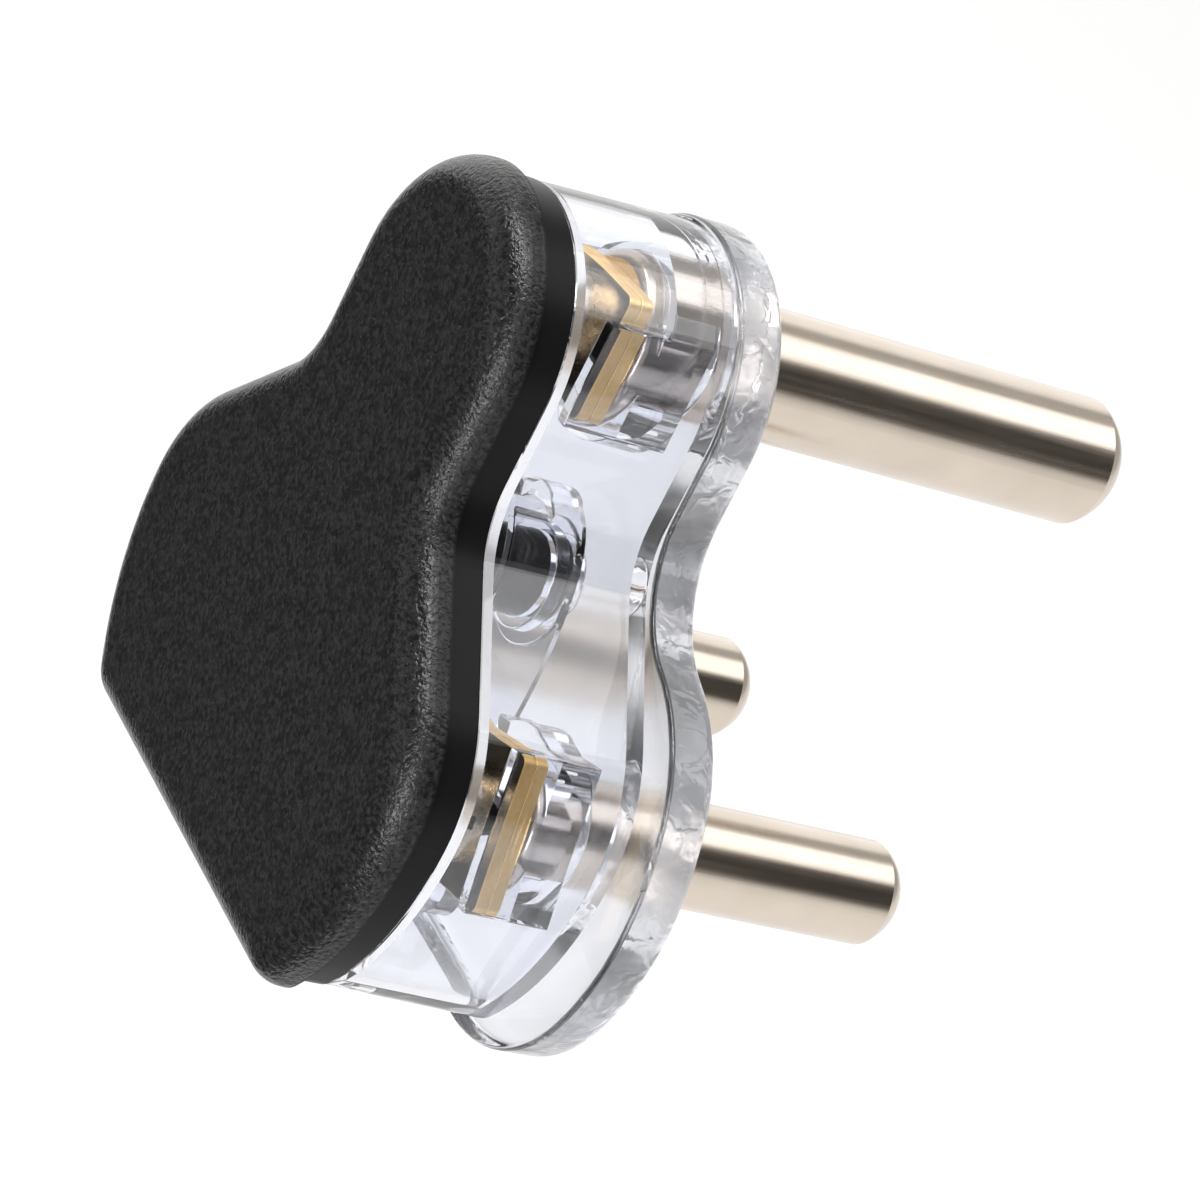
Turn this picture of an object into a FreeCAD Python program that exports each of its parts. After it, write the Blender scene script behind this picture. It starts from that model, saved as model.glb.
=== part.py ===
import FreeCAD, Part
import math
import os
from collections import namedtuple

# Three pin plug with round pins: clear base, black cover, rewirable terminals.
# Millimetres. X runs to the right seen from the cover, Y along the pins into
# the socket, Z up towards the earth pin. Y = 0 is the face that meets the socket,
# and the origin lies midway between the live and neutral pins.

# Pins
PIN_SPACING = 25.4             # live to neutral, centre to centre
EARTH_RISE = 28.6              # earth pin above the live and neutral line
EARTH_RADIUS = 4.355
EARTH_LENGTH = 33.1
EARTH_DOME = 2.7
POWER_RADIUS = 3.53
POWER_LENGTH = 24.4
POWER_DOME = 2.2
COLLAR_STEP = 0.95             # collar radius beyond the pin radius
EARTH_COLLAR_LENGTH = 6.45
POWER_COLLAR_LENGTH = 5.1
COLLAR_ROUND = 0.7
PIN_SEAT = 2.2                 # clear plastic left in front of each collar
PIN_ROOT_STEP = 0.2            # the part in the wall is this much thicker
PIN_ROOT_EASE = 0.1            # half the height of the chamfer that ends it
PIN_FIT = 0.05                 # radial clearance of a pin in the base

# Outline of the body, as seen from the cover
LOBE_RADIUS = 10.6             # earth lobe
LOBE_DROP = 2.3                # its centre below the earth pin
SIDE_SHIFT = 0.75              # centre of a side lobe inside its pin
SIDE_CENTRE_Z = 2.0
SIDE_RADIUS = 11.0
SHOULDER_SLOPE = 42.4          # degrees below level
NOTCH_RADIUS = 6.0
FLANK_RADIUS = 22.0
CORNER_RADIUS = 3.0
BOTTOM_DROP = 12.9             # flat bottom edge below the origin

# Flange, the wide plate at the socket end
FLANGE_THICKNESS = 3.6
FLANGE_TOP_RADIUS = 10.65
FLANGE_REACH = 13.6            # beyond the live pin
FLANGE_SIDE_HEIGHT = 0.2
FLANGE_SIDE_RADIUS = 18.0
FLANGE_SIDE_TURN = 25.0        # degrees of side arc above and below its middle
FLANGE_CORNER_RADIUS = 12.0
FLANGE_NOTCH_SHARE = 0.304     # notch radius against the height of the earth lobe
FLANGE_FRONT_ROUND = 1.0
FLANGE_BACK_ROUND = 0.3

# Base walls
WALL = 1.6
BASE_INSET_FRONT = 0.3         # outline inset where the wall meets the flange
BASE_INSET_RIM = 0.65          # outline inset at the rim
FLOOR_THICKNESS = 0.5          # floor beyond the flange thickness
RIM_LAND = 0.3                 # flat part of the rim, outside its bevel
RIM_BEVEL = 1.35               # height of the bevel inside the rim
RIM_GAP = 0.08                 # air between the rim and the skirt, the boss seats the cover
SPIGOT_FIT = 0.1               # inset of the cover's bevelled spigot from the rim's bevel
SEAT_WALL = 1.5                # sleeve around each collar
EARTH_SEAT_DEPTH = 5.2         # length of collar inside its sleeve
POWER_SEAT_DEPTH = 4.4

# Cover
COVER_DEPTH = 20.8             # outside face of the cover behind the front face
CAP_HEIGHT = 2.9
CAP_ROUND = 2.6
CAP_WALL = 2.2
SKIRT_HEIGHT = 2.45
SKIRT_INSET = 0.6
SKIRT_WALL = 2.2

# Terminals
PLATE_LONG = 10.0
PLATE_SHORT = 8.0
PLATE_THICKNESS = 0.9
PLATE_CORNER = 0.6
TERMINAL_SCREW_RADIUS = 1.75
TERMINAL_HEAD_RADIUS = 3.3
TERMINAL_HEAD_HEIGHT = 2.3
TERMINAL_SCREW_DEPTH = 6.0
CHAMBER_WALL = 1.0
CHAMBER_FIT = 0.2
CHAMBER_RISE = 2.95            # walls beyond the back of each collar
EARTH_WALL_DROP = 4.3          # side walls of the earth terminal below its pin
EARTH_WALL_RISE = 2.6          # and above it
SIDE_WALL_DROP = 4.8           # outer walls of the other two below their pins
SIDE_WALL_RISE = 5.4           # and above them
TERMINAL_TURN = 14.0           # degrees that the live and neutral terminals are turned

# Screw that holds the cover
COVER_SCREW_HEIGHT = 11.0
COVER_SCREW_RADIUS = 1.5
COVER_SCREW_LENGTH = 9.0
COVER_HEAD_RADIUS = 2.9
COVER_HEAD_HEIGHT = 1.9
COVER_HEAD_SINK = 0.6
BOSS_RADIUS = 3.0
BOSS_STEP_RADIUS = 3.9
BOSS_BASE_RADIUS = 4.8
BOSS_SOCKET = 0.6
GUSSET_HEIGHT = 4.35
SCREW_FIT = 0.05
HEAD_FIT = 0.35

# Cord inlet and grip
CORD_FLOOR_GAP = 1.9           # cord above the floor
CORD_COVER_GAP = 2.5           # grip below the inside of the cover
GRIP_SIDE = 3.0                # grip screws beside the cord
GRIP_HEIGHT = -8.4
GRIP_POST_RADIUS = 2.3
GRIP_PINCH = 0.4               # grip ears in front of the cord's axis
GRIP_WIDTH = 4.0
GRIP_THICKNESS = 1.8
GRIP_SCREW_RADIUS = 1.4
GRIP_HEAD_RADIUS = 2.0
GRIP_HEAD_HEIGHT = 1.6
GRIP_SCREW_DEPTH = 5.0

# Barrier between the conductors
BARRIER_HALF_WIDTH = 6.1
BARRIER_TOP = 17.6
BARRIER_CENTRE = 5.0
BARRIER_FOOT = -5.2
BARRIER_WALL = 0.9
BARRIER_DEPTH = 9.5
BARRIER_GAP_DEPTH = 3.0        # gaps through which the conductors pass
BARRIER_GAP_WIDTH = 4.4

SLOT_WIDTH = 0.9
SLOT_DEPTH = 1.1
OVERLAP = 0.2                  # how far joined solids run into each other
PAST = 1.0                     # how far a cutter runs past what it cuts

LOBE_HEIGHT = EARTH_RISE - LOBE_DROP
SIDE_CENTRE_X = PIN_SPACING / 2 - SIDE_SHIFT
FLANGE_HALF_WIDTH = PIN_SPACING / 2 + FLANGE_REACH
FLANGE_NOTCH = LOBE_HEIGHT * FLANGE_NOTCH_SHARE
RIM = COVER_DEPTH - CAP_HEIGHT - SKIRT_HEIGHT
FLOOR = FLANGE_THICKNESS + FLOOR_THICKNESS
GRIP_BACK = COVER_DEPTH - CAP_WALL - CORD_COVER_GAP
CORD_FRONT = FLOOR + CORD_FLOOR_GAP
CORD_RADIUS = (GRIP_BACK - GRIP_THICKNESS / 2 - CORD_FRONT) / 2
CORD_DEPTH = CORD_FRONT + CORD_RADIUS
GRIP_REACH = CORD_RADIUS + GRIP_SIDE
GRIP_POST_TOP = CORD_DEPTH - GRIP_PINCH
Y_AXIS = FreeCAD.Vector(0, 1, 0)

# One contact: its place, pin, collar back, sleeve back, plate sizes and turn in degrees
Contact = namedtuple("Contact", "x z radius length dome back seat width height turn")


def vec(x, y, z):
    """Return a point."""
    return FreeCAD.Vector(x, y, z)


def arc_piece(cx, cz, radius, start, end):
    """Return an arc of the right half outline, angles in degrees from +X."""
    return (cx, cz, radius, start, end)


def arc_point(piece, share, y, side):
    """Return the point that lies a share of the way along an arc piece."""
    cx, cz, radius, start, end = piece
    angle = math.radians(start + (end - start) * share)
    return vec(side * (cx + radius * math.cos(angle)), y, cz + radius * math.sin(angle))


def body_arcs(grow):
    """Return the arcs of the body outline, right half from top to bottom."""
    lobe = LOBE_RADIUS + grow
    side = SIDE_RADIUS + grow
    notch = NOTCH_RADIUS - grow
    flank = FLANK_RADIUS + grow
    corner = CORNER_RADIUS + grow
    normal = 90 - SHOULDER_SLOPE
    nx = math.cos(math.radians(normal))
    nz = math.sin(math.radians(normal))
    notch_x = lobe + notch
    shoulder = nx * SIDE_CENTRE_X + nz * SIDE_CENTRE_Z + side
    notch_z = (shoulder + notch - nx * notch_x) / nz
    flank_x = SIDE_CENTRE_X + side - flank
    corner_z = corner - BOTTOM_DROP - grow
    drop = corner_z - SIDE_CENTRE_Z
    corner_x = flank_x + math.sqrt((flank - corner) ** 2 - drop ** 2)
    turn = math.degrees(math.atan2(drop, corner_x - flank_x))
    return [
        arc_piece(0, LOBE_HEIGHT, lobe, 90, 0),
        arc_piece(notch_x, notch_z, notch, 180, 180 + normal),
        arc_piece(SIDE_CENTRE_X, SIDE_CENTRE_Z, side, normal, 0),
        arc_piece(flank_x, SIDE_CENTRE_Z, flank, 0, turn),
        arc_piece(corner_x, corner_z, corner, turn, -90),
    ]


def flange_arcs(grow):
    """Return the arcs of the flange outline, right half from top to bottom."""
    top = FLANGE_TOP_RADIUS + grow
    side = FLANGE_SIDE_RADIUS + grow
    corner = FLANGE_CORNER_RADIUS + grow
    notch = FLANGE_NOTCH - grow
    side_x = FLANGE_HALF_WIDTH - FLANGE_SIDE_RADIUS
    half_turn = math.radians(FLANGE_SIDE_TURN)
    corner_x = side_x + (side - corner) * math.cos(half_turn)
    corner_rise = (side - corner) * math.sin(half_turn)
    upper_z = FLANGE_SIDE_HEIGHT + corner_rise
    lower_z = FLANGE_SIDE_HEIGHT - corner_rise
    notch_x = top + notch
    run = notch_x - corner_x
    rise = math.sqrt((corner + notch) ** 2 - run ** 2)
    turn = math.degrees(math.atan2(rise, run))
    return [
        arc_piece(0, LOBE_HEIGHT, top, 90, 0),
        arc_piece(notch_x, upper_z + rise, notch, 180, 180 + turn),
        arc_piece(corner_x, upper_z, corner, turn, FLANGE_SIDE_TURN),
        arc_piece(side_x, FLANGE_SIDE_HEIGHT, side, FLANGE_SIDE_TURN, -FLANGE_SIDE_TURN),
        arc_piece(corner_x, lower_z, corner, -FLANGE_SIDE_TURN, -90),
    ]


def outline_wire(arcs, y):
    """Close the right half and its mirror image into one wire at height y."""
    edges = []
    for side in (1, -1):
        last = None
        for piece in arcs:
            first = arc_point(piece, 0, y, side)
            if last is not None and last.distanceToPoint(first) > 1e-6:
                edges.append(Part.makeLine(last, first))
            middle = arc_point(piece, 0.5, y, side)
            last = arc_point(piece, 1, y, side)
            edges.append(Part.Arc(first, middle, last).toShape())
    foot = arc_point(arcs[-1], 1, y, 1)
    edges.append(Part.makeLine(foot, vec(-foot.x, y, foot.z)))
    return Part.Wire(Part.__sortEdges__(edges))


def prism(arcs, back, front):
    """Return a straight solid of one outline from y = back to y = front."""
    face = Part.Face(outline_wire(arcs, back))
    return face.extrude(vec(0, front - back, 0))


def drafted(arcs_back, back, arcs_front, front):
    """Return a solid that tapers from one outline to another."""
    wires = [outline_wire(arcs_back, back), outline_wire(arcs_front, front)]
    return Part.makeLoft(wires, True, True)


def rod(radius, x, z, back, front):
    """Return a round bar along Y."""
    return Part.makeCylinder(radius, front - back, vec(x, back, z), Y_AXIS)


def block(x0, x1, y0, y1, z0, z1):
    """Return a box between two corners."""
    return Part.makeBox(x1 - x0, y1 - y0, z1 - z0, vec(x0, y0, z0))


def edges_at(solid, y, keep=None):
    """Return the edges that lie wholly in the plane at y."""
    found = []
    for edge in solid.Edges:
        box = edge.BoundBox
        flat = abs(box.YMin - y) < 1e-4 and abs(box.YMax - y) < 1e-4
        if flat and (keep is None or keep(edge)):
            found.append(edge)
    return found


def revolved(points, x, z):
    """Turn a profile of (radius, y) points about a line along Y."""
    corners = [vec(x + radius, y, z) for radius, y in points]
    face = Part.Face(Part.makePolygon(corners + corners[:1]))
    return face.revolve(vec(x, 0, z), Y_AXIS, 360)


def contacts():
    """Return the three contacts by name."""
    half = PIN_SPACING / 2
    earth = Contact(0.0, EARTH_RISE, EARTH_RADIUS, EARTH_LENGTH, EARTH_DOME,
                    PIN_SEAT + EARTH_COLLAR_LENGTH, PIN_SEAT + EARTH_SEAT_DEPTH,
                    PLATE_LONG, PLATE_SHORT, 0.0)
    live = Contact(half, 0.0, POWER_RADIUS, POWER_LENGTH, POWER_DOME,
                   PIN_SEAT + POWER_COLLAR_LENGTH, PIN_SEAT + POWER_SEAT_DEPTH,
                   PLATE_SHORT, PLATE_LONG, -TERMINAL_TURN)
    return {"earth": earth, "live": live, "neutral": live._replace(x=-half, turn=TERMINAL_TURN)}


def turned(shape, contact):
    """Turn a shape about the contact's pin."""
    shape.rotate(vec(contact.x, 0, contact.z), Y_AXIS, contact.turn)
    return shape


# Pins and terminals

def make_pin(contact):
    """Turn one pin: domed end, shank, collar and the tapped hole in its back."""
    x, z, radius, length, dome = contact[:5]
    collar = radius + COLLAR_STEP
    root = radius + PIN_ROOT_STEP
    shoulder = length - dome
    ball = (radius ** 2 + dome ** 2) / (2 * dome)
    half_angle = math.asin(radius / ball) / 2
    bulge = vec(x + ball * math.sin(half_angle), length - ball * (1 - math.cos(half_angle)), z)
    shank_end = vec(x + radius, shoulder, z)
    tip = vec(x, length, z)
    corners = [
        tip,
        vec(x, -contact.back, z),
        vec(x + collar, -contact.back, z),
        vec(x + collar, -PIN_SEAT, z),
        vec(x + root, -PIN_SEAT, z),
        vec(x + root, -PIN_ROOT_EASE, z),
        vec(x + radius, PIN_ROOT_EASE, z),
        shank_end,
    ]
    edges = [Part.makeLine(a, b) for a, b in zip(corners, corners[1:])]
    edges.append(Part.Arc(shank_end, bulge, tip).toShape())
    pin = Part.Face(Part.Wire(edges)).revolve(vec(x, 0, z), Y_AXIS, 360)
    rims = edges_at(pin, -contact.back)
    rims += edges_at(pin, -PIN_SEAT, lambda edge: abs(edge.Curve.Radius - collar) < 1e-3)
    pin = pin.makeFillet(COLLAR_ROUND, rims)
    hole_end = contact.back - TERMINAL_SCREW_DEPTH - PAST
    hole = rod(TERMINAL_SCREW_RADIUS + SCREW_FIT, x, z, -contact.back - PAST, -hole_end)
    return pin.cut(hole)


def make_plate(contact, order):
    """Return a plate with round corners and a screw hole: order 1 on the collar, 2 behind it."""
    x, z = contact.x, contact.z
    back = -contact.back - order * PLATE_THICKNESS
    plate = block(x - contact.width / 2, x + contact.width / 2, back, back + PLATE_THICKNESS,
                  z - contact.height / 2, z + contact.height / 2)
    upright = [e for e in plate.Edges if e.BoundBox.YLength > PLATE_THICKNESS / 2]
    plate = plate.makeFillet(PLATE_CORNER, upright)
    hole = rod(TERMINAL_SCREW_RADIUS + SCREW_FIT, x, z, back - PAST, back + PLATE_THICKNESS + PAST)
    return turned(plate.cut(hole), contact)


def make_screw(x, z, seat, head, height, shank, depth, forward):
    """Return a slotted pan head screw; forward is the way its shank points."""
    edge = height * 0.45
    points = [
        (0, -height),
        (head * 0.72, -height),
        (head * 0.94, -height * 0.8),
        (head, -edge),
        (head, 0),
        (shank, 0),
        (shank, depth - shank * 0.5),
        (shank * 0.5, depth),
        (0, depth),
    ]
    points = [(radius, seat + forward * y) for radius, y in points]
    screw = revolved(points, x, z)
    far = seat - forward * (height + PAST)
    near = seat - forward * (height - SLOT_DEPTH)
    slot = block(x - head - PAST, x + head + PAST, min(far, near), max(far, near),
                 z - SLOT_WIDTH / 2, z + SLOT_WIDTH / 2)
    return screw.cut(slot)


def make_terminal_screw(contact):
    """Return the screw that closes one terminal."""
    plates = 2 * PLATE_THICKNESS
    screw = make_screw(contact.x, contact.z, -contact.back - plates, TERMINAL_HEAD_RADIUS,
                       TERMINAL_HEAD_HEIGHT, TERMINAL_SCREW_RADIUS,
                       TERMINAL_SCREW_DEPTH + plates - PAST, 1)
    return turned(screw, contact)


# Clear base

def rim_bevel(back, fit):
    """Return the solid inside the rim's bevel from y = back forwards, inset by a fit."""
    slope = (WALL - RIM_LAND) / RIM_BEVEL
    inset_front = BASE_INSET_RIM + WALL + fit
    inset_back = inset_front - slope * (RIM_BEVEL - RIM - back)
    return drafted(body_arcs(-inset_back), back, body_arcs(-inset_front), -RIM + RIM_BEVEL)


def base_shell():
    """Return the flange and the drafted wall with its pocket and bevelled rim."""
    flange = prism(flange_arcs(0), -FLANGE_THICKNESS, 0)
    flange = flange.makeFillet(FLANGE_FRONT_ROUND, edges_at(flange, 0))
    flange = flange.makeFillet(FLANGE_BACK_ROUND, edges_at(flange, -FLANGE_THICKNESS))
    joint = -FLANGE_THICKNESS + FLANGE_BACK_ROUND + OVERLAP
    wall = drafted(body_arcs(-BASE_INSET_RIM), -RIM, body_arcs(-BASE_INSET_FRONT), joint)
    pocket = prism(body_arcs(-BASE_INSET_RIM - WALL), -RIM - PAST, -FLOOR)
    return flange.fuse(wall).cut([pocket, rim_bevel(-RIM - PAST, 0)])


def seat(contact, reach):
    """Return the sleeve round a collar, with flat sides at the reach of its chamber."""
    radius = contact.radius + COLLAR_STEP + SEAT_WALL
    sleeve = rod(radius, contact.x, contact.z, -contact.seat, -FLOOR + OVERLAP)
    flats = block(contact.x - reach, contact.x + reach, -contact.seat, 0,
                  contact.z - radius, contact.z + radius)
    return sleeve.common(flats)


def chamber(contact, low, high, drop, rise):
    """Return a block round a collar, with a wall beside the plates where it reaches past them."""
    half = contact.width / 2 + CHAMBER_FIT
    back = -contact.back - CHAMBER_RISE
    foot = contact.z - drop
    top = contact.z + rise
    solid = block(contact.x + low, contact.x + high, back, -FLOOR + OVERLAP, foot, top)
    room = block(contact.x - half, contact.x + half, back - PAST, -contact.seat,
                 foot - PAST, top + PAST)
    return solid.cut(room)


def housing(contact):
    """Return seat and chamber: walls on both sides of the earth plates, outside the others."""
    open_side = contact.width / 2
    reach = open_side + CHAMBER_FIT + CHAMBER_WALL
    if contact.x == 0:
        walls = chamber(contact, -reach, reach, EARTH_WALL_DROP, EARTH_WALL_RISE)
    elif contact.x > 0:
        walls = chamber(contact, -open_side, reach, SIDE_WALL_DROP, SIDE_WALL_RISE)
    else:
        walls = chamber(contact, -reach, open_side, SIDE_WALL_DROP, SIDE_WALL_RISE)
    return turned(walls.fuse(seat(contact, reach)), contact)


def barrier():
    """Return the arched wall round the cover screw, with gaps for three conductors."""
    back = -BARRIER_DEPTH
    height = BARRIER_DEPTH - FLOOR + OVERLAP
    rise = BARRIER_TOP - BARRIER_CENTRE
    shells = []
    for inset in (0, BARRIER_WALL):
        major = rise - inset
        minor = BARRIER_HALF_WIDTH - inset
        ellipse = Part.Ellipse(vec(0, back, BARRIER_CENTRE + major),
                               vec(minor, back, BARRIER_CENTRE),
                               vec(0, back, BARRIER_CENTRE))
        shells.append(Part.Face(Part.Wire(ellipse.toShape())).extrude(vec(0, height, 0)))
    ring = shells[0].cut(shells[1])
    keep = block(-BARRIER_HALF_WIDTH, BARRIER_HALF_WIDTH, back, back + height,
                 BARRIER_CENTRE, BARRIER_TOP)
    arch = ring.common(keep)
    for side in (-1, 1):
        edge = side * BARRIER_HALF_WIDTH
        inner = edge - side * BARRIER_WALL
        leg = block(min(edge, inner), max(edge, inner), back, back + height,
                    BARRIER_FOOT, BARRIER_CENTRE)
        arch = arch.fuse(leg)
    gap = BARRIER_GAP_WIDTH / 2
    top = block(-gap, gap, back - PAST, back + BARRIER_GAP_DEPTH, BARRIER_TOP - 2 * BARRIER_WALL,
                BARRIER_TOP + PAST)
    sides = block(-BARRIER_HALF_WIDTH - PAST, BARRIER_HALF_WIDTH + PAST,
                  back - PAST, back + BARRIER_GAP_DEPTH, -gap, gap)
    return arch.cut([top, sides])


def cord_rod(foot, length, grow=0.0):
    """Return the room that the cord takes up, from the height of its foot upwards."""
    start = vec(0, -CORD_DEPTH, foot)
    return Part.makeCylinder(CORD_RADIUS + grow, length, start, vec(0, 0, 1))


def cord_cradle():
    """Return the two ribs that the cord lies on, hollowed to its radius."""
    ribs = []
    for z in (GRIP_HEIGHT - GRIP_WIDTH / 4, GRIP_HEIGHT + GRIP_WIDTH / 2):
        ribs.append(block(-CORD_RADIUS, CORD_RADIUS, -CORD_DEPTH + PAST, -FLOOR + OVERLAP,
                          z - BARRIER_WALL / 2, z + BARRIER_WALL / 2))
    return ribs[0].fuse(ribs[1]).cut(cord_rod(-BOTTOM_DROP, BOTTOM_DROP))


def cord_inlet():
    """Return the cutter for the cord's way in, a notch open at the rim."""
    foot = -BOTTOM_DROP - PAST
    length = WALL + BASE_INSET_RIM + 2 * PAST
    round_part = cord_rod(foot, length)
    straight = block(-CORD_RADIUS, CORD_RADIUS, -RIM - PAST, -CORD_DEPTH,
                     foot, foot + length)
    return round_part.fuse(straight)


def make_base():
    """Return the clear base with its seats, chambers, bosses and holes."""
    shell = base_shell()
    room = prism(body_arcs(-BASE_INSET_RIM - WALL + OVERLAP), -RIM, -FLOOR + OVERLAP)
    added = [barrier(), cord_cradle()]
    cuts = []
    for contact in contacts().values():
        x, z, radius = contact[:3]
        bore = radius + COLLAR_STEP + PIN_FIT
        added.append(housing(contact))
        cuts.append(rod(bore, x, z, -contact.back - CHAMBER_FIT, -PIN_SEAT))
        cuts.append(rod(radius + PIN_ROOT_STEP + PIN_FIT, x, z, -PIN_SEAT - PAST, PAST))
    boss_top = -FLOOR - BOSS_SOCKET
    z = COVER_SCREW_HEIGHT
    added.append(rod(BOSS_BASE_RADIUS, 0, z, -FLOOR - BOSS_SOCKET / 2, -FLOOR + OVERLAP))
    added.append(rod(BOSS_STEP_RADIUS, 0, z, boss_top - BOSS_SOCKET, -FLOOR + OVERLAP))
    cuts.append(rod(BOSS_RADIUS + PIN_FIT, 0, z, boss_top - PAST, boss_top + BOSS_SOCKET))
    cuts.append(rod(COVER_SCREW_RADIUS + SCREW_FIT, 0, z, boss_top - PAST, PAST))
    head_seat = -COVER_HEAD_SINK - COVER_HEAD_HEIGHT
    cuts.append(rod(COVER_HEAD_RADIUS + HEAD_FIT, 0, z, head_seat, PAST))
    for side in (-1, 1):
        x = side * GRIP_REACH
        added.append(rod(GRIP_POST_RADIUS, x, GRIP_HEIGHT, -GRIP_POST_TOP, -FLOOR + OVERLAP))
        cuts.append(rod(GRIP_SCREW_RADIUS + SCREW_FIT, x, GRIP_HEIGHT, -GRIP_POST_TOP - PAST,
                        -GRIP_POST_TOP + GRIP_SCREW_DEPTH))
    cuts.append(cord_inlet())
    inside = added[0].fuse(added[1:]).common(room)
    base = shell.fuse(inside).cut(cuts)
    return base.removeSplitter()


# Black cover

def cover_boss():
    """Return the screw boss inside the cover with four gussets."""
    back = -COVER_DEPTH + CAP_WALL - OVERLAP
    z = COVER_SCREW_HEIGHT
    boss = rod(BOSS_RADIUS, 0, z, back, -FLOOR)
    reach = 2.2 * BOSS_RADIUS
    rib_end = -COVER_DEPTH + CAP_WALL + GUSSET_HEIGHT
    across = block(-reach, reach, back, rib_end, z - BARRIER_WALL / 2, z + BARRIER_WALL / 2)
    along = block(-BARRIER_WALL / 2, BARRIER_WALL / 2, back, rib_end, z - reach, z + reach)
    boss = boss.fuse([across, along])
    hole = rod(COVER_SCREW_RADIUS + SCREW_FIT, 0, z,
               -COVER_HEAD_SINK - COVER_HEAD_HEIGHT - COVER_SCREW_LENGTH - PAST, 0)
    return boss, hole


def make_cover():
    """Return the cover: rounded cap, set back skirt, bevelled spigot, hollow inside and boss."""
    cap = prism(body_arcs(0), -COVER_DEPTH, -COVER_DEPTH + CAP_HEIGHT)
    cap = cap.makeFillet(CAP_ROUND, edges_at(cap, -COVER_DEPTH))
    foot = -RIM - RIM_GAP
    skirt = prism(body_arcs(-SKIRT_INSET), -COVER_DEPTH + CAP_HEIGHT - OVERLAP, foot)
    spigot = rim_bevel(foot - OVERLAP, SPIGOT_FIT)
    hollow = prism(body_arcs(-SKIRT_INSET - SKIRT_WALL), -COVER_DEPTH + CAP_WALL, -FLOOR)
    arch = cord_rod(-BOTTOM_DROP - PAST, GRIP_WIDTH + 2 * PAST, GRIP_THICKNESS / 2 + HEAD_FIT)
    shell = cap.fuse([skirt, spigot]).cut([hollow, arch])
    boss, hole = cover_boss()
    return shell.fuse(boss).cut(hole).removeSplitter()


def make_cover_screw():
    """Return the screw that goes in from the front face."""
    seat = -COVER_HEAD_SINK - COVER_HEAD_HEIGHT
    return make_screw(0, COVER_SCREW_HEIGHT, seat, COVER_HEAD_RADIUS, COVER_HEAD_HEIGHT,
                      COVER_SCREW_RADIUS, COVER_SCREW_LENGTH, -1)


# Cord grip

def make_cord_grip():
    """Return the arched bar that holds the cord down on its cradle."""
    z0 = GRIP_HEIGHT - GRIP_WIDTH / 2
    z1 = GRIP_HEIGHT + GRIP_WIDTH / 2
    end = GRIP_REACH + GRIP_POST_RADIUS
    feet = block(-end, end, -GRIP_POST_TOP - GRIP_THICKNESS, -GRIP_POST_TOP, z0, z1)
    upright = [e for e in feet.Edges if e.BoundBox.YLength > GRIP_THICKNESS / 2]
    feet = feet.makeFillet(GRIP_WIDTH * 0.45, upright)
    hoop = cord_rod(z0, GRIP_WIDTH, GRIP_THICKNESS / 2)
    cord = cord_rod(z0 - PAST, GRIP_WIDTH + 2 * PAST)
    below = block(-end, end, -GRIP_POST_TOP, 0, z0 - PAST, z1 + PAST)
    grip = feet.fuse(hoop).cut([cord, below])
    holes = []
    for side in (-1, 1):
        holes.append(rod(GRIP_SCREW_RADIUS + SCREW_FIT, side * GRIP_REACH, GRIP_HEIGHT,
                         -GRIP_POST_TOP - GRIP_THICKNESS - PAST, -GRIP_POST_TOP + PAST))
    return grip.cut(holes).removeSplitter()


def make_grip_screw(side):
    """Return one of the two screws of the cord grip."""
    return make_screw(side * GRIP_REACH, GRIP_HEIGHT, -GRIP_POST_TOP - GRIP_THICKNESS,
                      GRIP_HEAD_RADIUS, GRIP_HEAD_HEIGHT, GRIP_SCREW_RADIUS,
                      GRIP_THICKNESS + GRIP_SCREW_DEPTH - PAST, 1)


def build():
    """Return every piece by name."""
    pieces = {"base": make_base(), "cover": make_cover(), "cover_screw": make_cover_screw()}
    for name, contact in contacts().items():
        pieces[name + "_pin"] = make_pin(contact)
        pieces[name + "_terminal_plate"] = make_plate(contact, 1)
        pieces[name + "_clamp_plate"] = make_plate(contact, 2)
        pieces[name + "_terminal_screw"] = make_terminal_screw(contact)
    pieces["cord_grip"] = make_cord_grip()
    pieces["cord_grip_screw_right"] = make_grip_screw(1)
    pieces["cord_grip_screw_left"] = make_grip_screw(-1)
    return pieces


os.makedirs("parts", exist_ok=True)
for node, shape in build().items():
    if len(shape.Solids) == 1:
        shape = shape.Solids[0]
    print(node, "solids", len(shape.Solids), "valid", shape.isValid(), "volume", round(shape.Volume, 1))
    shape.exportStep(os.path.join("parts", node + ".step"))
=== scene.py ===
"""Dresses the round three pin plug: clear base, grained cover, plated pins, brass terminals.

Metres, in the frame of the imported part: X to the right seen from the cover, Y along the pins
into the socket, Z up towards the earth pin. Y = 0 is the face that meets the socket.
"""

import logging
import math
from dataclasses import dataclass, field
from enum import Enum
from typing import Protocol

import bmesh
import bpy
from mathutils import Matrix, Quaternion, Vector


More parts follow.
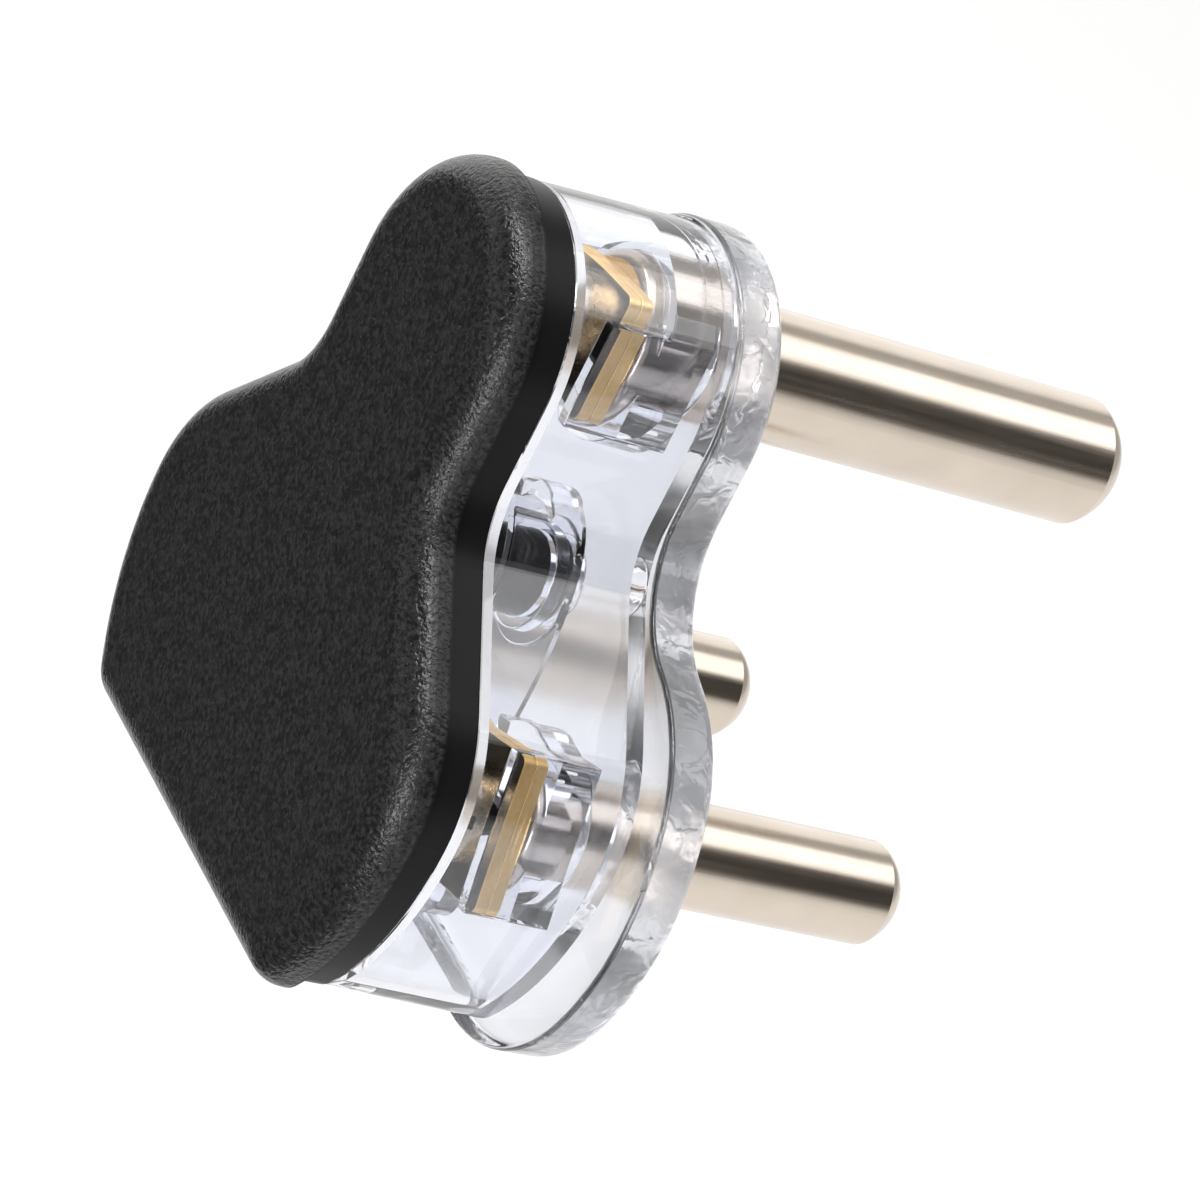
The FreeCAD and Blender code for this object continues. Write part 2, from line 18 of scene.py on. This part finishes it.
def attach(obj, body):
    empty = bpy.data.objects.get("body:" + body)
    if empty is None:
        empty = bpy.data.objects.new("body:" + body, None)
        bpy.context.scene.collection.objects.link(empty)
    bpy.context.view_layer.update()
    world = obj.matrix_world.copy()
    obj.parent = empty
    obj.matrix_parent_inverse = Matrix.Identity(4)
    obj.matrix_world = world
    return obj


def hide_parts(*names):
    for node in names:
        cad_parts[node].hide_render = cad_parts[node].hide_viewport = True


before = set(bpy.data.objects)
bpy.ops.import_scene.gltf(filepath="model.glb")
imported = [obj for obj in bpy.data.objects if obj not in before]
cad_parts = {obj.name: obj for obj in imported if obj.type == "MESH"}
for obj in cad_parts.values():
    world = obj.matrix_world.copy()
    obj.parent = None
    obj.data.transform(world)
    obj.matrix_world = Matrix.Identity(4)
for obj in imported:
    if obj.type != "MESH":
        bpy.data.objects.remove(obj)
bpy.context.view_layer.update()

Pair = tuple[float, float]
Triple = tuple[float, float, float]
Socket = bpy.types.NodeSocket

LOG = logging.getLogger("three_pin_plug")
ROOT = "root"
MM = 0.001
METRE = 1.0
CAP_FOOT_Y = -17.9 * MM         # where the grained cap ends and the smooth skirt starts
SCREW_HEAD_SCALE = 1800.0       # streaks per metre on the head of a screw
NO_DIRECTION: Triple = (1.0, 1.0, 1.0)
RISING: Pair = (0.0, 1.0)
FALLING: Pair = (1.0, 0.0)
MIDDLE: Pair = (0.3, 0.7)       # where most values of a noise lie


class Slot(Enum):
    """Material slots of the pieces that are rebuilt here."""

    CLEAR_PLASTIC = "clear_plastic"
    RAW_BRASS = "raw_brass"


class Contact(Enum):
    """The three contacts, by the names that their nodes start with."""

    EARTH = "earth"
    LIVE = "live"
    NEUTRAL = "neutral"


class Detail(Enum):
    """How fine a noise is, in octaves."""

    PLAIN = 2.0
    SOME = 3.0
    RICH = 4.0
    FULL = 5.0


class Sum(Enum):
    """Sums that a material can do with two values."""

    PLUS = "ADD"
    TIMES = "MULTIPLY"
    LARGER = "MAXIMUM"


class NodeGraph:
    """A material under construction, with short calls for its nodes."""

    MIX_LOW, MIX_HIGH, MIX_RESULT = 6, 7, 2     # places of a Mix node's colour sockets

    def __init__(self, name: str) -> None:
        """Start a material with one Principled shader.

        Args:
            name: name of the new material.
        """
        self.material = bpy.data.materials.new(name)
        self.material.use_nodes = True
        self.nodes = self.material.node_tree.nodes
        self.links = self.material.node_tree.links
        self.shader = self.nodes["Principled BSDF"]
        self.place = self.nodes.new("ShaderNodeTexCoord").outputs["Object"]

    def set(self, **values: object) -> None:
        """Set sockets of the shader.

        Args:
            values: the sockets' names, with underscores for their spaces, and their values.
        """
        for name, value in values.items():
            self.shader.inputs[name.replace("_", " ")].default_value = value

    def feed(self, source: Socket, target: str) -> None:
        """Link a value to one of the shader's inputs.

        Args:
            source: socket to read.
            target: name of the input.
        """
        self.links.new(source, self.shader.inputs[target])

    def mapped(self, stretch: Triple) -> Socket:
        """Return object coordinates multiplied along each axis.

        Args:
            stretch: factor along X, Y and Z.

        Returns:
            The socket with the stretched coordinates.
        """
        mapping = self.nodes.new("ShaderNodeMapping")
        mapping.inputs["Scale"].default_value = stretch
        self.links.new(self.place, mapping.inputs["Vector"])
        return mapping.outputs["Vector"]

    def noise(self, place: Socket, scale: float, detail: Detail = Detail.SOME,
              swirl: float = 0.0) -> Socket:
        """Return a cloudy value.

        Args:
            place: coordinates to read.
            scale: cells per metre.
            detail: how fine the noise is.
            swirl: how far the cells are pulled about.

        Returns:
            The socket with the noise value.
        """
        noise = self.nodes.new("ShaderNodeTexNoise")
        noise.inputs["Scale"].default_value = scale
        noise.inputs["Detail"].default_value = detail.value
        noise.inputs["Distortion"].default_value = swirl
        self.links.new(place, noise.inputs["Vector"])
        return noise.outputs["Fac"]

    def cells(self, place: Socket, scale: float) -> Socket:
        """Return the distance to the nearest of many scattered points.

        Args:
            place: coordinates to read.
            scale: points per metre.

        Returns:
            The socket with the distance.
        """
        cells = self.nodes.new("ShaderNodeTexVoronoi")
        cells.feature = "SMOOTH_F1"
        cells.inputs["Scale"].default_value = scale
        self.links.new(place, cells.inputs["Vector"])
        return cells.outputs["Distance"]

    def fitted(self, value: Socket, span: Pair, result: Pair) -> Socket:
        """Return a value carried from one span to another, and held at its ends.

        Args:
            value: socket to read.
            span: values at which the result starts and ends.
            result: the result's values there.

        Returns:
            The socket with the fitted value.
        """
        fit = self.nodes.new("ShaderNodeMapRange")
        fit.inputs["From Min"].default_value = span[0]
        fit.inputs["From Max"].default_value = span[1]
        fit.inputs["To Min"].default_value = result[0]
        fit.inputs["To Max"].default_value = result[1]
        self.links.new(value, fit.inputs["Value"])
        return fit.outputs["Result"]

    def blended(self, value: Socket, low: Triple, high: Triple, span: Pair) -> Socket:
        """Return a colour between two, by a value.

        Args:
            value: socket that chooses.
            low: colour at the start of the span.
            high: colour at its end.
            span: values at which the two colours are reached.

        Returns:
            The socket with the colour.
        """
        ramp = self.nodes.new("ShaderNodeValToRGB")
        first, last = ramp.color_ramp.elements
        first.position, last.position = span
        first.color = (*low, 1.0)
        last.color = (*high, 1.0)
        self.links.new(value, ramp.inputs["Fac"])
        return ramp.outputs["Color"]

    def sum_of(self, action: Sum, first: Socket, second: Socket | float) -> Socket:
        """Return the result of one sum.

        Args:
            action: the sum to do.
            first: first value.
            second: second value, a socket or a number.

        Returns:
            The socket with the result.
        """
        node = self.nodes.new("ShaderNodeMath")
        node.operation = action.value
        self.links.new(first, node.inputs[0])
        if isinstance(second, float):
            node.inputs[1].default_value = second
        else:
            self.links.new(second, node.inputs[1])
        return node.outputs["Value"]

    def along(self, axis: str) -> Socket:
        """Return one object coordinate.

        Args:
            axis: X, Y or Z.

        Returns:
            The socket with the coordinate.
        """
        split = self.nodes.new("ShaderNodeSeparateXYZ")
        self.links.new(self.place, split.inputs["Vector"])
        return split.outputs[axis]

    def facing(self, axis: str) -> Socket:
        """Return how far the surface faces along an axis.

        Args:
            axis: X, Y or Z.

        Returns:
            The socket with 1 where the surface faces along the axis, 0 where it faces across.
        """
        geometry = self.nodes.new("ShaderNodeNewGeometry")
        split = self.nodes.new("ShaderNodeSeparateXYZ")
        self.links.new(geometry.outputs["True Normal"], split.inputs["Vector"])
        return self.sum_of(Sum.TIMES, split.outputs[axis], split.outputs[axis])

    def mixed(self, share: Socket, low: Socket, high: Socket) -> Socket:
        """Return a colour between two coloured sockets.

        Args:
            share: 0 for the first, 1 for the second.
            low: first colour.
            high: second colour.

        Returns:
            The socket with the mixed colour.
        """
        mix = self.nodes.new("ShaderNodeMix")
        mix.data_type = "RGBA"
        self.links.new(share, mix.inputs["Factor"])
        self.links.new(low, mix.inputs[self.MIX_LOW])
        self.links.new(high, mix.inputs[self.MIX_HIGH])
        return mix.outputs[self.MIX_RESULT]

    def relief(self, height: Socket, depth: float, strength: Socket | float = 1.0) -> None:
        """Raise and lower the surface.

        Args:
            height: value from 0, low, to 1, high.
            depth: metres from low to high.
            strength: share of the relief that shows, a number or a socket.
        """
        bump = self.nodes.new("ShaderNodeBump")
        bump.inputs["Distance"].default_value = depth
        if isinstance(strength, float):
            bump.inputs["Strength"].default_value = strength
        else:
            self.links.new(strength, bump.inputs["Strength"])
        self.links.new(height, bump.inputs["Height"])
        self.links.new(bump.outputs["Normal"], self.shader.inputs["Normal"])


class Finish(Protocol):
    """What every finish has."""

    name: str

    def make(self) -> bpy.types.Material:
        """Return the finished material."""


@dataclass(frozen=True)
class ClearPlastic:
    """Clear polycarbonate: polished walls, a hazy rippled flange edge, a matt front face."""

    name: str = "clear_polycarbonate"
    tint: Triple = (0.885, 0.90, 0.95)
    ior: float = 1.57
    flow_stretch: Triple = (1.0, 0.5, 1.0)
    flow_scale: float = 160.0
    flow_swirl: float = 0.8
    flow_span: Pair = (0.35, 0.7)
    flow_depth: float = 0.012 * MM
    wall_roughness: Pair = (0.0, 0.03)
    face_roughness: float = 0.2
    face_edge: float = -0.3 * MM
    side_span: Pair = (0.2, 0.5)
    flange_back: float = -3.4 * MM
    flange_blend: float = 0.1 * MM
    flange_clearness: float = 0.84
    ripple_scale: float = 650.0
    ripple_swirl: float = 0.6
    ripple_depth: float = 0.2 * MM

    def make(self) -> bpy.types.Material:
        """Return the finished material."""
        graph = NodeGraph(self.name)
        graph.set(Base_Color=(*self.tint, 1.0), IOR=self.ior)
        stretched = graph.mapped(self.flow_stretch)
        flow = graph.noise(stretched, self.flow_scale, Detail.PLAIN, self.flow_swirl)
        wall = graph.fitted(flow, self.flow_span, self.wall_roughness)
        depth = graph.along("Y")
        front = graph.fitted(depth, (self.face_edge, 0.0), RISING)
        frost = graph.sum_of(Sum.TIMES, front, self.face_roughness)
        graph.feed(graph.sum_of(Sum.LARGER, wall, frost), "Roughness")
        side = graph.fitted(graph.facing("Y"), self.side_span, FALLING)
        flange = (self.flange_back, self.flange_back + self.flange_blend)
        edge = graph.sum_of(Sum.TIMES, side, graph.fitted(depth, flange, RISING))
        clearness = graph.fitted(edge, RISING, (1.0, self.flange_clearness))
        graph.feed(clearness, "Transmission Weight")
        ripples = graph.noise(graph.place, self.ripple_scale, Detail.PLAIN, self.ripple_swirl)
        on_edge = graph.sum_of(Sum.TIMES, edge, ripples)
        raised = graph.sum_of(Sum.TIMES, on_edge, self.ripple_depth)
        waves = graph.sum_of(Sum.TIMES, flow, self.flow_depth)
        graph.relief(graph.sum_of(Sum.PLUS, raised, waves), METRE)
        return graph.material


@dataclass(frozen=True)
class GrainedMoulding:
    """Black moulding with leather grain on the cap and a smooth skirt below it."""

    name: str = "grained_black_moulding"
    dark: Triple = (0.007, 0.007, 0.0072)
    worn: Triple = (0.030, 0.030, 0.031)
    grain_scale: float = 3000.0
    grain_swirl: float = 0.5
    grain_span: Pair = (0.38, 0.66)
    grain_depth: float = 0.09 * MM
    speck_scale: float = 4200.0
    speck_share: float = 0.35
    wear_scale: float = 90.0
    wear_share: float = 0.12
    cap_roughness: float = 0.17
    skirt_roughness: float = 0.27
    top_span: Pair = (0.02, 0.2)
    skirt_level: float = 0.12
    side_level: float = 0.2
    cap_level: float = 0.6
    edge: float = 0.25 * MM

    def make(self) -> bpy.types.Material:
        """Return the finished material."""
        graph = NodeGraph(self.name)
        cap = graph.fitted(graph.along("Y"), (CAP_FOOT_Y - self.edge, CAP_FOOT_Y), FALLING)
        grain = graph.noise(graph.place, self.grain_scale, Detail.PLAIN, self.grain_swirl)
        raised = graph.sum_of(Sum.TIMES, graph.fitted(grain, self.grain_span, RISING), cap)
        graph.feed(graph.blended(raised, self.dark, self.worn, RISING), "Base Color")
        wear = graph.noise(graph.place, self.wear_scale, Detail.RICH)
        gloss = graph.fitted(cap, RISING, (self.skirt_roughness, self.cap_roughness))
        haze = graph.sum_of(Sum.TIMES, wear, self.wear_share)
        graph.feed(graph.sum_of(Sum.PLUS, gloss, haze), "Roughness")
        top = graph.fitted(graph.facing("Y"), self.top_span, (self.side_level, self.cap_level))
        level = graph.sum_of(Sum.TIMES, top, cap)
        graph.feed(graph.sum_of(Sum.LARGER, level, self.skirt_level), "Specular IOR Level")
        specks = graph.cells(graph.place, self.speck_scale)
        pits = graph.sum_of(Sum.TIMES, specks, self.speck_share)
        graph.relief(graph.sum_of(Sum.PLUS, grain, pits), self.grain_depth, cap)
        return graph.material


@dataclass(frozen=True)
class TurnedMetal:
    """Bright metal with fine streaks along one axis.

    The streaks run along Y on the pins, and have no direction on a screw head.
    """

    name: str
    low: Triple
    high: Triple
    roughness: Pair = (0.17, 0.29)
    stretch: Triple = (1.0, 0.02, 1.0)
    streak_scale: float = 2600.0
    streak_span: Pair = (0.25, 0.75)
    streak_depth: float = 0.004 * MM
    cloud_scale: float = 220.0

    def make(self) -> bpy.types.Material:
        """Return the finished material."""
        graph = NodeGraph(self.name)
        graph.set(Metallic=1.0)
        streaks = graph.noise(graph.mapped(self.stretch), self.streak_scale, Detail.RICH)
        clouds = graph.noise(graph.place, self.cloud_scale)
        graph.feed(graph.blended(clouds, self.low, self.high, MIDDLE), "Base Color")
        graph.feed(graph.fitted(streaks, self.streak_span, self.roughness), "Roughness")
        graph.relief(streaks, self.streak_depth)
        return graph.material


@dataclass(frozen=True)
class ShearedBrass:
    """Rolled brass sheet: smooth faces, their gloss dulled a little by stains, and grainy sheared
    edges. The faces' darker, greyer brass is painted shade of the dark cover they face.
    """

    name: str = "sheared_brass"
    edge_low: Triple = (0.98, 0.60, 0.19)
    edge_high: Triple = (1.0, 0.70, 0.28)
    # darker, greyer brass of the faces: painted shade of the dark cover they face
    shaded_face_low: Triple = (0.50, 0.38, 0.24)
    shaded_face_high: Triple = (0.66, 0.52, 0.34)
    face_span: Pair = (0.5, 0.9)
    grain_scale: float = 3600.0
    grain_span: Pair = (0.3, 0.62)
    grain_depth: float = 0.03 * MM
    face_relief: float = 0.12
    stain_scale: float = 420.0
    stain_swirl: float = 0.6
    stain_share: float = 0.08
    edge_roughness: float = 0.42
    face_roughness: float = 0.16

    def make(self) -> bpy.types.Material:
        """Return the finished material."""
        graph = NodeGraph(self.name)
        graph.set(Metallic=1.0)
        grain = graph.noise(graph.place, self.grain_scale, Detail.FULL)
        stain = graph.noise(graph.place, self.stain_scale, Detail.RICH, self.stain_swirl)
        face = graph.fitted(graph.facing("Y"), self.face_span, RISING)
        edge_colour = graph.blended(grain, self.edge_low, self.edge_high, self.grain_span)
        # painted shade: the faces take the darker, greyer brass, the sheared edges the bright one
        shaded_face_colour = graph.blended(stain, self.shaded_face_low, self.shaded_face_high, MIDDLE)
        graph.feed(graph.mixed(face, edge_colour, shaded_face_colour), "Base Color")
        rough = graph.fitted(face, RISING, (self.edge_roughness, self.face_roughness))
        dull = graph.sum_of(Sum.TIMES, stain, self.stain_share)
        graph.feed(graph.sum_of(Sum.PLUS, rough, dull), "Roughness")
        graph.relief(grain, self.grain_depth, graph.fitted(face, RISING, (1.0, self.face_relief)))
        return graph.material


@dataclass(frozen=True)
class LightTable:
    """Pale floor that lightly glows, as a light table does."""

    name: str = "light_table"
    pale: Triple = (0.9, 0.9, 0.905)
    dimming: float = 0.985
    drift_scale: float = 3.0
    roughness: float = 0.9
    glow_colour: Triple = (1.0, 1.0, 1.0)
    glow: float = 0.06

    def make(self) -> bpy.types.Material:
        """Return the finished material."""
        graph = NodeGraph(self.name)
        drift = graph.noise(graph.place, self.drift_scale, Detail.PLAIN)
        dimmer = tuple(self.dimming * part for part in self.pale)
        graph.feed(graph.blended(drift, dimmer, self.pale, MIDDLE), "Base Color")
        graph.set(Roughness=self.roughness, Emission_Color=(*self.glow_colour, 1.0),
                  Emission_Strength=self.glow)
        return graph.material


@dataclass(frozen=True)
class DarkCloth:
    """Matte dark cloth of a studio panel."""

    name: str = "dark_cloth"
    dark: Triple = (0.048, 0.045, 0.042)
    light: Triple = (0.096, 0.090, 0.085)
    fold_scale: float = 2.0

    def make(self) -> bpy.types.Material:
        """Return the finished material."""
        graph = NodeGraph(self.name)
        folds = graph.noise(graph.place, self.fold_scale, Detail.PLAIN)
        graph.feed(graph.blended(folds, self.dark, self.light, MIDDLE), "Base Color")
        graph.set(Roughness=1.0, Specular_IOR_Level=0.0)
        return graph.material


@dataclass
class Dresser:
    """Gives finishes to pieces and keeps each material once."""

    made: dict[str, bpy.types.Material] = field(default_factory=dict)

    def material(self, finish: Finish) -> bpy.types.Material:
        """Return a finish's material, made on first use.

        Args:
            finish: the finish.

        Returns:
            Its material.
        """
        if finish.name not in self.made:
            self.made[finish.name] = finish.make()
        return self.made[finish.name]

    def dress(self, node: str, finish: Finish) -> bpy.types.Object:
        """Give one node its finish.

        Args:
            node: name of the node.
            finish: finish to assign.

        Returns:
            The node's object.
        """
        return self.paint(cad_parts[node], finish)

    def paint(self, piece: bpy.types.Object, finish: Finish) -> bpy.types.Object:
        """Assign a finish to an object.

        Args:
            piece: the object.
            finish: finish to assign.

        Returns:
            The same object.
        """
        for slot in piece.material_slots:
            slot.material = self.material(finish)
        LOG.info("dressed %s with %s", piece.name, finish.name)
        return piece


@dataclass(frozen=True)
class SoftEdges:
    """Small rounds on a piece's outward edges, as a mould or a press leaves them.

    The rounds run on edges across the pins and along them. The crowded corners at the cord
    inlet stay sharp.
    """

    width: float = 0.12 * MM
    segments: int = 2
    sharp: float = math.radians(60.0)
    smooth: float = math.radians(20.0)
    level: float = 0.002 * MM
    weld: float = 0.05 * MM
    flat: float = math.radians(0.6)
    shortest: float = 0.5 * MM
    inlet_side: float = 9.0 * MM
    inlet_top: float = 3.0 * MM

    def cleaned(self, piece: bpy.types.Object) -> None:
        """Join the loose triangles of a copied piece into whole faces.

        Args:
            piece: the copy.
        """
        bpy.ops.object.select_all(action="DESELECT")
        piece.select_set(True)
        bpy.context.view_layer.objects.active = piece
        bpy.ops.object.mode_set(mode="EDIT")
        bpy.ops.mesh.select_all(action="SELECT")
        bpy.ops.mesh.customdata_custom_splitnormals_clear()
        bpy.ops.mesh.remove_doubles(threshold=self.level)
        bpy.ops.mesh.dissolve_limited(angle_limit=self.flat)
        bpy.ops.mesh.remove_doubles(threshold=self.weld)
        bpy.ops.object.mode_set(mode="OBJECT")

    def picked(self, edge: bmesh.types.BMEdge) -> bool:
        """Tell whether an edge gets a round.

        Args:
            edge: edge of the copied mesh.

        Returns:
            True for a sharp outward edge across or along the pins, away from the cord inlet.
        """
        first, last = (vertex.co for vertex in edge.verts)
        run = last - first
        middle = (first + last) / 2
        across = abs(run.y) < self.level
        along = math.hypot(run.x, run.z) < self.level and run.length > self.shortest
        clear = abs(middle.x) > self.inlet_side or middle.z > self.inlet_top
        outward = edge.is_convex and edge.calc_face_angle(0.0) > self.sharp
        return outward and clear and (across or along)

    def marked(self, piece: bpy.types.Object) -> int:
        """Weigh the edges to be rounded.

        Args:
            piece: the cleaned copy.

        Returns:
            How many edges there are.
        """
        mesh = bmesh.new()
        mesh.from_mesh(piece.data)
        weight = mesh.edges.layers.float.new("bevel_weight_edge")
        chosen = [edge for edge in mesh.edges if self.picked(edge)]
        for edge in chosen:
            edge[weight] = 1.0
        mesh.to_mesh(piece.data)
        mesh.free()
        return len(chosen)

    def build(self, node: str, slot: Slot) -> bpy.types.Object:
        """Return a copy of a node with its edges rounded, which stands for the node.

        Args:
            node: name of the node.
            slot: not used.

        Returns:
            The rounded piece.
        """
        piece = bpy.data.objects.new(node + "_rounded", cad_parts[node].data.copy())
        bpy.context.scene.collection.objects.link(piece)
        self.cleaned(piece)
        count = self.marked(piece)
        rounds = piece.modifiers.new("rounds", "BEVEL")
        rounds.width = self.width
        rounds.segments = self.segments
        rounds.limit_method = "WEIGHT"
        rounds.use_clamp_overlap = False
        bpy.ops.object.modifier_apply(modifier=rounds.name)
        bpy.ops.object.shade_smooth_by_angle(angle=self.smooth)
        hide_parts(node)
        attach(piece, ROOT)
        LOG.info("rounded %d edges of %s", count, node)
        return piece


@dataclass
class ClearBase:
    """The clear moulding with its flange, walls, chambers and bosses."""

    dresser: Dresser
    plastic: ClearPlastic = ClearPlastic()
    edges: SoftEdges = SoftEdges()

    def build(self) -> None:
        """Round and dress the base, and let light through to the terminals."""
        piece = self.edges.build("base", Slot.CLEAR_PLASTIC)
        self.dresser.paint(piece, self.plastic)
        piece.visible_shadow = False


@dataclass
class Cover:
    """The black cover."""

    dresser: Dresser
    moulding: GrainedMoulding = GrainedMoulding()

    def build(self) -> None:
        """Dress the cover."""
        self.dresser.dress("cover", self.moulding)


@dataclass
class ContactSet:
    """The three pins, each with its terminal plate, clamp plate and screw."""

    dresser: Dresser
    plating: TurnedMetal = TurnedMetal("plated_brass", (0.61, 0.535, 0.455), (0.67, 0.59, 0.505))
    brass: ShearedBrass = ShearedBrass()
    edges: SoftEdges = SoftEdges(width=0.07 * MM)
    screw: TurnedMetal = TurnedMetal("dull_zinc_plate", (0.40, 0.35, 0.28), (0.58, 0.51, 0.41),
                                     (0.2, 0.34), NO_DIRECTION, SCREW_HEAD_SCALE)

    def build(self) -> None:
        """Dress every piece of each contact, and round the edges of the plates."""
        for contact in Contact:
            self.dresser.dress(contact.value + "_pin", self.plating)
            self.dresser.dress(contact.value + "_terminal_screw", self.screw)
            for plate in ("_terminal_plate", "_clamp_plate"):
                piece = self.edges.build(contact.value + plate, Slot.RAW_BRASS)
                self.dresser.paint(piece, self.brass)


@dataclass
class CordGrip:
    """The clear bar over the cord and its two screws."""

    dresser: Dresser
    plastic: ClearPlastic = ClearPlastic()
    zinc: TurnedMetal = TurnedMetal("zinc_plate", (0.5, 0.5, 0.49), (0.66, 0.66, 0.64),
                                    (0.28, 0.42), NO_DIRECTION, SCREW_HEAD_SCALE)

    def build(self) -> None:
        """Dress the bar and the screws."""
        self.dresser.dress("cord_grip", self.plastic).visible_shadow = False
        self.dresser.dress("cord_grip_screw_right", self.zinc)
        self.dresser.dress("cord_grip_screw_left", self.zinc)


@dataclass
class CoverScrew:
    """The dark screw in the front face."""

    dresser: Dresser
    steel: TurnedMetal = TurnedMetal("blackened_steel", (0.10, 0.095, 0.09), (0.17, 0.16, 0.15),
                                     (0.3, 0.45), NO_DIRECTION, SCREW_HEAD_SCALE)

    def build(self) -> None:
        """Dress the screw."""
        self.dresser.dress("cover_screw", self.steel)


@dataclass
class SoftBox:
    """One soft rectangular light."""

    name: str
    place: Triple
    aim: Triple
    size: Pair
    radiance: float

    def build(self) -> bpy.types.Object:
        """Return the light, hidden from the camera itself."""
        lamp = bpy.data.lights.new(self.name, "AREA")
        lamp.shape = "RECTANGLE"
        lamp.size, lamp.size_y = self.size
        lamp.energy = self.radiance * math.pi * self.size[0] * self.size[1]
        holder = bpy.data.objects.new(self.name, lamp)
        holder.location = self.place
        towards = Vector(self.aim) - Vector(self.place)
        holder.rotation_mode = "QUATERNION"
        holder.rotation_quaternion = towards.to_track_quat("-Z", "Y")
        holder.visible_camera = False
        bpy.context.scene.collection.objects.link(holder)
        LOG.info("lit by %s", self.name)
        return holder


@dataclass
class DarkPanel:
    """A dark panel that reflections see, and clear plastic too unless told otherwise."""

    name: str
    centre: Triple
    facing: Triple
    size: Pair
    seen_through: bool = True

    def build(self, dresser: Dresser) -> bpy.types.Object:
        """Return the panel, turned towards the plug.

        Args:
            dresser: keeper of the materials.

        Returns:
            The panel's object.
        """
        bpy.ops.object.select_all(action="DESELECT")
        bpy.ops.mesh.primitive_plane_add(size=METRE)
        panel = bpy.context.object
        panel.name = self.name
        panel.scale = (*self.size, 1.0)
        panel.location = self.centre
        panel.rotation_mode = "QUATERNION"
        panel.rotation_quaternion = Vector(self.facing).to_track_quat("Z", "Y")
        bpy.ops.object.transform_apply(location=True, rotation=True, scale=True)
        panel.data.materials.append(dresser.material(DarkCloth()))
        panel.visible_camera = False
        panel.visible_diffuse = False
        panel.visible_shadow = False
        panel.visible_transmission = self.seen_through
        LOG.info("placed %s", panel.name)
        return panel


@dataclass
class Studio:
    """Camera, floor, dark panels, soft boxes and background light."""

    dresser: Dresser
    azimuth: float = 55.59
    elevation: float = 20.93
    roll: float = 27.38
    focus: Triple = (-1.81 * MM, 2.70 * MM, 9.47 * MM)
    distance: float = 315.7 * MM
    lens: float = 144.156
    sensor: float = 36.0
    nearest: float = 10 * MM
    floor_height: float = -90 * MM
    floor_half: float = 3.0
    room_colour: Triple = (1.0, 0.985, 0.96)
    room_light: float = 0.5
    boxes: tuple[SoftBox, ...] = (
        SoftBox("overhead_box", (0.25, 0.4, 1.0), (0.25, 0.4, 0.0), (0.8, 1.5), 1.65),
        SoftBox("left_box", (-1.2, 0.2, 0.55), (0.0, 0.0, 0.1), (1.8, 1.3), 0.85),
        SoftBox("high_strip", (0.05, -0.5, 1.05), (0.0, 0.0, 0.01), (1.0, 0.07), 22.0),
        SoftBox("low_strip", (0.152, -0.135, 0.0), (0.0, -0.018, 0.01), (0.022, 0.16), 8.0),
    )
    panels: tuple[DarkPanel, ...] = (
        DarkPanel("pin_panel", (1.55, 1.06, 0.76), (-1.55, -1.06, -0.76), (1.7, 1.6)),
        DarkPanel("cap_panel", (-0.73, -0.82, -0.088), (0.0, 0.0, 1.0), (1.8, 1.6), False),
        DarkPanel("edge_panel", (0.0, -1.1, 0.85), (0.0, 1.1, -0.85), (1.8, 1.1), False),
    )

    def make_camera(self) -> None:
        """Place the camera at the photograph's viewpoint."""
        turn = math.radians(self.azimuth)
        rise = math.radians(self.elevation)
        back = Vector((math.sin(turn) * math.cos(rise), -math.cos(turn) * math.cos(rise),
                       math.sin(rise)))
        camera = bpy.data.cameras.new("camera")
        camera.sensor_width = self.sensor
        camera.lens = self.lens
        camera.clip_start = self.nearest
        holder = bpy.data.objects.new("camera", camera)
        holder.location = Vector(self.focus) + back * self.distance
        holder.rotation_mode = "QUATERNION"
        level = (-back).to_track_quat("-Z", "Y")
        holder.rotation_quaternion = level @ Quaternion((0.0, 0.0, 1.0), math.radians(self.roll))
        bpy.context.scene.collection.objects.link(holder)
        bpy.context.scene.camera = holder

    def make_floor(self) -> None:
        """Lay the pale floor well below the plug."""
        bpy.ops.object.select_all(action="DESELECT")
        bpy.ops.mesh.primitive_plane_add(size=2 * self.floor_half,
                                         location=(0, 0, self.floor_height))
        floor = bpy.context.object
        floor.name = "floor"
        floor.data.materials.append(self.dresser.material(LightTable()))

    def make_room_light(self) -> None:
        """Set the even light that comes from all round."""
        world = bpy.data.worlds.new("room")
        world.use_nodes = True
        background = world.node_tree.nodes["Background"]
        background.inputs["Color"].default_value = (*self.room_colour, 1.0)
        background.inputs["Strength"].default_value = self.room_light
        bpy.context.scene.world = world

    def build(self) -> None:
        """Make the camera, the floor, the panels and every light."""
        self.make_camera()
        self.make_floor()
        self.make_room_light()
        for panel in self.panels:
            panel.build(self.dresser)
        for box in self.boxes:
            box.build()
        bpy.context.scene.view_settings.view_transform = "Standard"


def main() -> None:
    """Build every sub-assembly in order."""
    logging.basicConfig(level=logging.INFO)
    dresser = Dresser()
    for part in (ClearBase(dresser), Cover(dresser), ContactSet(dresser), CordGrip(dresser),
                 CoverScrew(dresser), Studio(dresser)):
        part.build()


if __name__ == "__main__":
    main()
